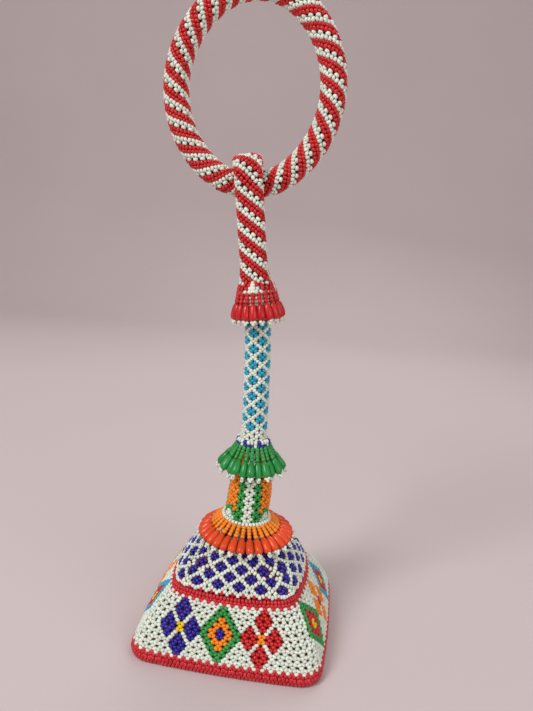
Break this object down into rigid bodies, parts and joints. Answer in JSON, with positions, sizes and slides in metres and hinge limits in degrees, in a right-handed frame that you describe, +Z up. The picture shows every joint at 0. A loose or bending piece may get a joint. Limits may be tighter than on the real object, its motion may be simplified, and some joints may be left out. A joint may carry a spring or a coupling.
{
  "type": "beaded ring-handled rattle",
  "caption": "Hand-shaken rattle: a bead-netted pyramid head of seeds on a netted stem with bead-drop fringes, a striped rope loop and a ring handle.",
  "frame": {"origin": "centre of the square base, on the plane it stands on", "axes": "+Z up through the head; -Y is the front face; the stem bows in the XZ plane and the ring handle lies in that plane"},
  "size_m": [0.1055, 0.1028, 0.3384],
  "materials": {
    "white_net": "opaque white glass seed beads netted with coloured flower and diamond motifs",
    "red_beads": "opaque red glass seed beads",
    "striped_beads": "red and white glass seed beads in slanting stripes",
    "striped_neck": "white, green and orange glass seed beads in upright stripes",
    "blue_beads": "opaque royal blue glass seed beads",
    "white_beads": "opaque white glass seed beads",
    "orange_beads": "opaque orange glass seed beads with white tips",
    "green_beads": "green glass seed beads with white tips",
    "orange_drop": "glossy orange-red drop beads",
    "green_drop": "glossy green drop beads",
    "red_drop": "glossy red drop beads",
    "dark_cloth": "woven dark red cotton, also wound round the ring's cane hoop and the loop's rope",
    "card": "dense grey-brown board",
    "wood": "plain turned wood",
    "cord": "waxed cotton cord",
    "wadding": "cotton wadding",
    "cane": "bent cane",
    "seed": "hard dried seeds"
  },
  "bodies": {
    "body": {"base_cloth": "dark_cloth", "base_board": "card", "bottom_rim": "red_beads", "skirt_net": "white_net", "middle_border": "red_beads", "yoke_net": "white_net", "head_lining": "dark_cloth", "head_shell": "card", "neck_plug": "wood", "stem_core": "cane", "neck_padding": "wadding", "neck_net": "striped_neck", "white_ring": "white_beads", "orange_fringe_cord": "cord", "green_fringe_cord": "cord", "blue_band": "blue_beads", "stem_wrap": "dark_cloth", "stem_net": "white_net", "stem_knot": "cord"},
    "loop": {"loop_rope": "dark_cloth", "loop_net": "striped_beads", "loop_binding": "cord", "red_fringe_cord": "cord"},
    "ring": {"ring_hoop": "dark_cloth", "ring_net": "striped_beads"},
    "seeds": {"rattle_seeds": "seed"},
    "orange_fringe_front": {"orange_strands_front": "orange_beads", "orange_drops_front": "orange_drop"},
    "orange_fringe_right": {"orange_strands_right": "orange_beads", "orange_drops_right": "orange_drop"},
    "orange_fringe_back": {"orange_strands_back": "orange_beads", "orange_drops_back": "orange_drop"},
    "orange_fringe_left": {"orange_strands_left": "orange_beads", "orange_drops_left": "orange_drop"},
    "green_fringe_front": {"green_strands_front": "green_beads", "green_drops_front": "green_drop"},
    "green_fringe_right": {"green_strands_right": "green_beads", "green_drops_right": "green_drop"},
    "green_fringe_back": {"green_strands_back": "green_beads", "green_drops_back": "green_drop"},
    "green_fringe_left": {"green_strands_left": "green_beads", "green_drops_left": "green_drop"},
    "red_fringe_front": {"red_strands_front": "red_beads", "red_drops_front": "red_drop"},
    "red_fringe_right": {"red_strands_right": "red_beads", "red_drops_right": "red_drop"},
    "red_fringe_back": {"red_strands_back": "red_beads", "red_drops_back": "red_drop"},
    "red_fringe_left": {"red_strands_left": "red_beads", "red_drops_left": "red_drop"}
  },
  "joints": [
    {"name": "seed_shake", "type": "slide", "parent": "body", "child": "seeds", "axis": [0, 0, 1], "range_m": [0, 0.018]},
    {"name": "loop_lean", "type": "hinge", "parent": "body", "child": "loop", "pos_m": [-0.00075, 0, 0.17692], "axis": [0, 1, 0], "range_deg": [-9, 23]},
    {"name": "ring_swing", "type": "hinge", "parent": "loop", "child": "ring", "pos_m": [-0.00876, 0, 0.24032], "axis": [1, 0, 0], "range_deg": [-150, 150]},
    {"name": "orange_fringe_front_swing", "type": "hinge", "parent": "body", "child": "orange_fringe_front", "pos_m": [0.0001, -0.0146, 0.0618], "axis": [-0.9985, 0, 0.0539], "range_deg": [0, 30]},
    {"name": "orange_fringe_right_swing", "type": "hinge", "parent": "body", "child": "orange_fringe_right", "pos_m": [0.01468, 0, 0.06101], "axis": [0, -1, 0], "range_deg": [0, 30]},
    {"name": "orange_fringe_back_swing", "type": "hinge", "parent": "body", "child": "orange_fringe_back", "pos_m": [0.0001, 0.0146, 0.0618], "axis": [0.9985, 0, -0.0539], "range_deg": [0, 30]},
    {"name": "orange_fringe_left_swing", "type": "hinge", "parent": "body", "child": "orange_fringe_left", "pos_m": [-0.01448, 0, 0.06258], "axis": [0, 1, 0], "range_deg": [0, 30]},
    {"name": "green_fringe_front_swing", "type": "hinge", "parent": "body", "child": "green_fringe_front", "pos_m": [0.00144, -0.0096, 0.10537], "axis": [-1, 0, 0.0076], "range_deg": [0, 25]},
    {"name": "green_fringe_right_swing", "type": "hinge", "parent": "body", "child": "green_fringe_right", "pos_m": [0.01104, 0, 0.1053], "axis": [0, -1, 0], "range_deg": [0, 25]},
    {"name": "green_fringe_back_swing", "type": "hinge", "parent": "body", "child": "green_fringe_back", "pos_m": [0.00144, 0.0096, 0.10537], "axis": [1, 0, -0.0076], "range_deg": [0, 25]},
    {"name": "green_fringe_left_swing", "type": "hinge", "parent": "body", "child": "green_fringe_left", "pos_m": [-0.00816, 0, 0.10544], "axis": [0, 1, 0], "range_deg": [0, 25]},
    {"name": "red_fringe_front_swing", "type": "hinge", "parent": "loop", "child": "red_fringe_front", "pos_m": [-0.00239, -0.014, 0.18992], "axis": [-0.9921, 0, -0.1253], "range_deg": [0, 25]},
    {"name": "red_fringe_right_swing", "type": "hinge", "parent": "loop", "child": "red_fringe_right", "pos_m": [0.00872, 0, 0.19132], "axis": [0, -1, 0], "range_deg": [0, 25]},
    {"name": "red_fringe_back_swing", "type": "hinge", "parent": "loop", "child": "red_fringe_back", "pos_m": [-0.00239, 0.014, 0.18992], "axis": [0.9921, 0, 0.1253], "range_deg": [0, 25]},
    {"name": "red_fringe_left_swing", "type": "hinge", "parent": "loop", "child": "red_fringe_left", "pos_m": [-0.0135, 0, 0.18851], "axis": [0, 1, 0], "range_deg": [0, 25]}
  ]
}
